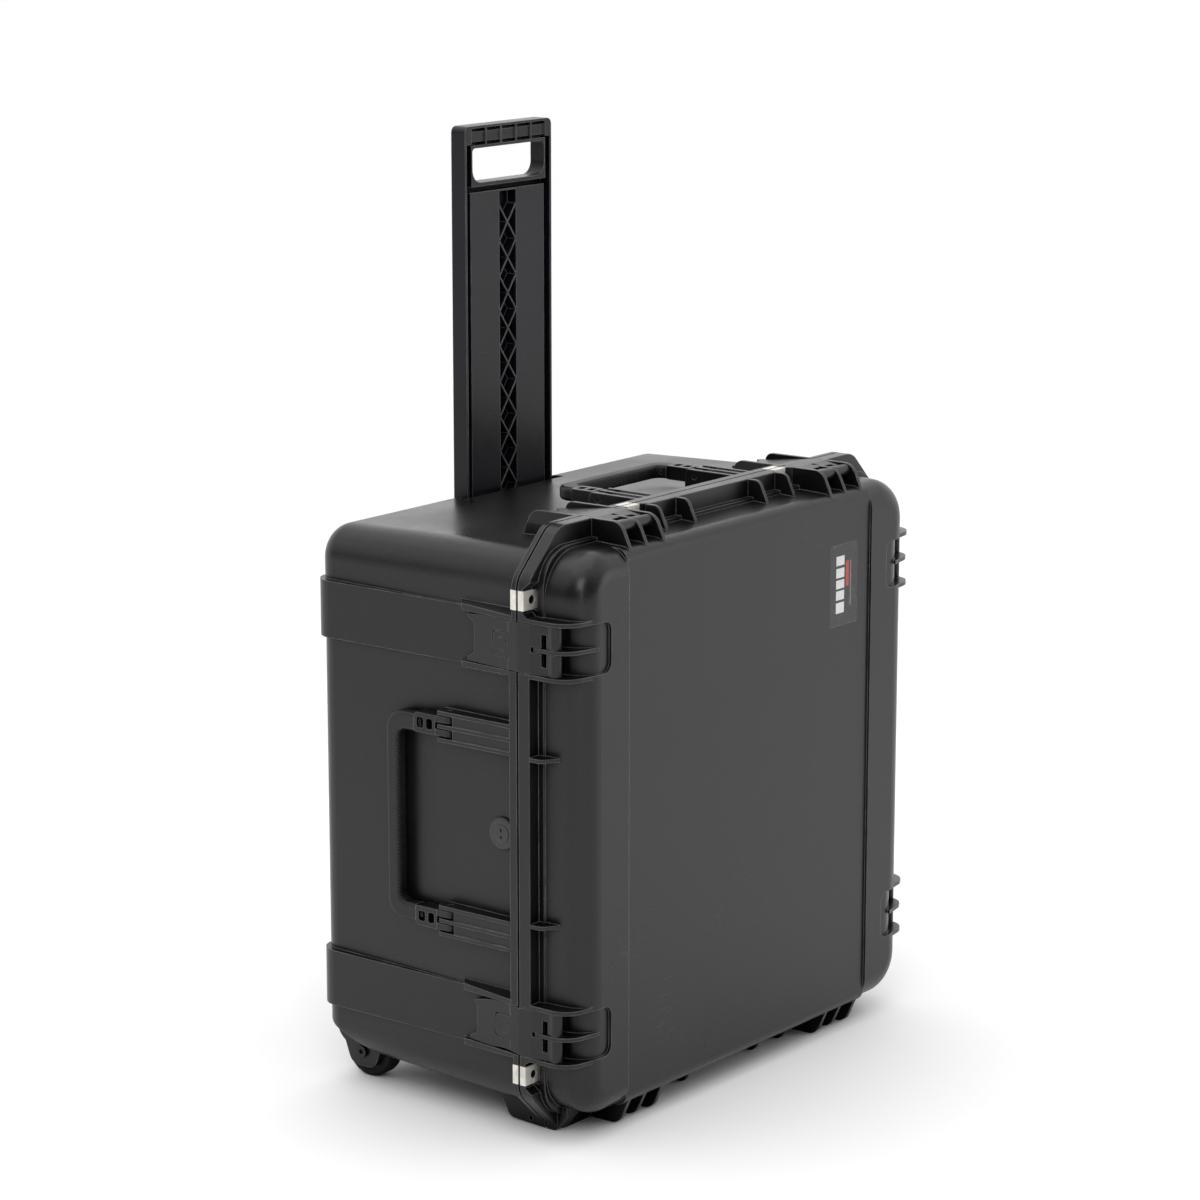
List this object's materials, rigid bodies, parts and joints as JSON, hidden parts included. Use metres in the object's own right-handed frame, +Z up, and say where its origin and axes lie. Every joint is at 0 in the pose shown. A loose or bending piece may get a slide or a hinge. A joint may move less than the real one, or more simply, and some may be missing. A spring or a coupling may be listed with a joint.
{
  "type": "hard equipment case",
  "caption": "Square moulded equipment case with a hinged lid, draw latches, folding carry handles, a sliding pull handle and wheels.",
  "frame": {"origin": "middle of the case's footprint on the floor, case standing upright on its wheels and rim", "axes": "+X along the width, -Y towards the lid, +Z up"},
  "size_m": [0.61, 0.355, 0.991],
  "materials": {
    "shell_plastic": "fine moulded texture, soft sheen",
    "latch_plastic": "fine moulded texture",
    "handle_plastic": "fine moulded texture",
    "grip_rubber": "soft matt",
    "pull_handle_plastic": "glass-filled plastic, streaked and slightly worn",
    "channel_plastic": "moulded",
    "valve_plastic": "moulded",
    "hub_plastic": "moulded",
    "tyre_rubber": "matt",
    "gasket_rubber": "soft matt",
    "stainless_plate": "bright, lightly brushed",
    "steel": "plain turned",
    "spring_steel": "wound wire",
    "label": "blank two-tone label"
  },
  "bodies": {
    "base": {"base_shell": "shell_plastic", "handle_channel": "channel_plastic", "channel_screws": "steel", "base_padlock_eyes": "stainless_plate", "valve_body": "valve_plastic", "valve_cap": "valve_plastic", "hinge_pins": "steel", "axle_bolts": "steel", "carry_handle_pins": "steel"},
    "lid": {"lid_shell": "shell_plastic", "lid_gasket": "gasket_rubber", "lid_padlock_eyes": "stainless_plate", "latch_pins": "steel", "label_plate": "label"},
    "pull_handle": {"pull_handle": "pull_handle_plastic"},
    "lever_left_upper": {"latch_lever_left_upper": "latch_plastic", "trigger_pin_left_upper": "steel", "trigger_spring_left_upper": "spring_steel"},
    "trigger_left_upper": {"latch_trigger_left_upper": "latch_plastic"},
    "lever_left_lower": {"latch_lever_left_lower": "latch_plastic", "trigger_pin_left_lower": "steel", "trigger_spring_left_lower": "spring_steel"},
    "trigger_left_lower": {"latch_trigger_left_lower": "latch_plastic"},
    "lever_right_upper": {"latch_lever_right_upper": "latch_plastic", "trigger_pin_right_upper": "steel", "trigger_spring_right_upper": "spring_steel"},
    "trigger_right_upper": {"latch_trigger_right_upper": "latch_plastic"},
    "lever_right_lower": {"latch_lever_right_lower": "latch_plastic", "trigger_pin_right_lower": "steel", "trigger_spring_right_lower": "spring_steel"},
    "trigger_right_lower": {"latch_trigger_right_lower": "latch_plastic"},
    "lever_top_left": {"latch_lever_top_left": "latch_plastic", "trigger_pin_top_left": "steel", "trigger_spring_top_left": "spring_steel"},
    "trigger_top_left": {"latch_trigger_top_left": "latch_plastic"},
    "lever_top_right": {"latch_lever_top_right": "latch_plastic", "trigger_pin_top_right": "steel", "trigger_spring_top_right": "spring_steel"},
    "trigger_top_right": {"latch_trigger_top_right": "latch_plastic"},
    "carry_handle_left": {"handle_frame_left": "handle_plastic", "handle_grip_left": "grip_rubber"},
    "carry_handle_right": {"handle_frame_right": "handle_plastic", "handle_grip_right": "grip_rubber"},
    "carry_handle_top": {"handle_frame_top": "handle_plastic", "handle_grip_top": "grip_rubber"},
    "wheel_left": {"wheel_hub_left": "hub_plastic", "wheel_tyre_left": "tyre_rubber"},
    "wheel_right": {"wheel_hub_right": "hub_plastic", "wheel_tyre_right": "tyre_rubber"}
  },
  "joints": [
    {"name": "lid_hinge", "type": "hinge", "parent": "base", "child": "lid", "pos_m": [0, -0.0875, 0.0065], "axis": [1, 0, 0], "range_deg": [0, 100]},
    {"name": "pull_handle_slide", "type": "slide", "parent": "base", "child": "pull_handle", "axis": [0, 0, 1], "range_m": [-0.385, 0]},
    {"name": "latch_left_upper", "type": "hinge", "parent": "lid", "child": "lever_left_upper", "pos_m": [-0.2976, -0.1505, 0.513], "axis": [0, 0, 1], "range_deg": [0, 110]},
    {"name": "trigger_left_upper", "type": "hinge", "parent": "lever_left_upper", "child": "trigger_left_upper", "pos_m": [-0.2961, -0.0855, 0.513], "axis": [0, 0, 1], "range_deg": [0, 15], "stiffness_Nm_per_rad": 0.05, "springref_deg": -11.46},
    {"name": "latch_left_lower", "type": "hinge", "parent": "lid", "child": "lever_left_lower", "pos_m": [-0.2976, -0.1505, 0.116], "axis": [0, 0, 1], "range_deg": [0, 110]},
    {"name": "trigger_left_lower", "type": "hinge", "parent": "lever_left_lower", "child": "trigger_left_lower", "pos_m": [-0.2961, -0.0855, 0.116], "axis": [0, 0, 1], "range_deg": [0, 15], "stiffness_Nm_per_rad": 0.05, "springref_deg": -11.46},
    {"name": "latch_right_upper", "type": "hinge", "parent": "lid", "child": "lever_right_upper", "pos_m": [0.2976, -0.1505, 0.513], "axis": [0, 0, -1], "range_deg": [0, 110]},
    {"name": "trigger_right_upper", "type": "hinge", "parent": "lever_right_upper", "child": "trigger_right_upper", "pos_m": [0.2961, -0.0855, 0.513], "axis": [0, 0, -1], "range_deg": [0, 15], "stiffness_Nm_per_rad": 0.05, "springref_deg": -11.46},
    {"name": "latch_right_lower", "type": "hinge", "parent": "lid", "child": "lever_right_lower", "pos_m": [0.2976, -0.1505, 0.116], "axis": [0, 0, -1], "range_deg": [0, 110]},
    {"name": "trigger_right_lower", "type": "hinge", "parent": "lever_right_lower", "child": "trigger_right_lower", "pos_m": [0.2961, -0.0855, 0.116], "axis": [0, 0, -1], "range_deg": [0, 15], "stiffness_Nm_per_rad": 0.05, "springref_deg": -11.46},
    {"name": "latch_top_left", "type": "hinge", "parent": "lid", "child": "lever_top_left", "pos_m": [-0.175, -0.1505, 0.6216], "axis": [1, 0, 0], "range_deg": [0, 110]},
    {"name": "trigger_top_left", "type": "hinge", "parent": "lever_top_left", "child": "trigger_top_left", "pos_m": [-0.175, -0.0855, 0.6201], "axis": [1, 0, 0], "range_deg": [0, 15], "stiffness_Nm_per_rad": 0.05, "springref_deg": -11.46},
    {"name": "latch_top_right", "type": "hinge", "parent": "lid", "child": "lever_top_right", "pos_m": [0.175, -0.1505, 0.6216], "axis": [1, 0, 0], "range_deg": [0, 110]},
    {"name": "trigger_top_right", "type": "hinge", "parent": "lever_top_right", "child": "trigger_top_right", "pos_m": [0.175, -0.0855, 0.6201], "axis": [1, 0, 0], "range_deg": [0, 15], "stiffness_Nm_per_rad": 0.05, "springref_deg": -11.46},
    {"name": "carry_handle_left", "type": "hinge", "parent": "base", "child": "carry_handle_left", "pos_m": [-0.297, -0.0125, 0.3145], "axis": [0, 0, 1], "range_deg": [0, 90]},
    {"name": "carry_handle_right", "type": "hinge", "parent": "base", "child": "carry_handle_right", "pos_m": [0.297, -0.0125, 0.3145], "axis": [0, 0, -1], "range_deg": [0, 90]},
    {"name": "carry_handle_top", "type": "hinge", "parent": "base", "child": "carry_handle_top", "pos_m": [0, -0.0475, 0.621], "axis": [1, 0, 0], "range_deg": [0, 90]},
    {"name": "wheel_left", "type": "hinge", "parent": "base", "child": "wheel_left", "pos_m": [-0.243, 0.1405, 0.03], "axis": [1, 0, 0], "continuous": true},
    {"name": "wheel_right", "type": "hinge", "parent": "base", "child": "wheel_right", "pos_m": [0.243, 0.1405, 0.03], "axis": [1, 0, 0], "continuous": true}
  ]
}
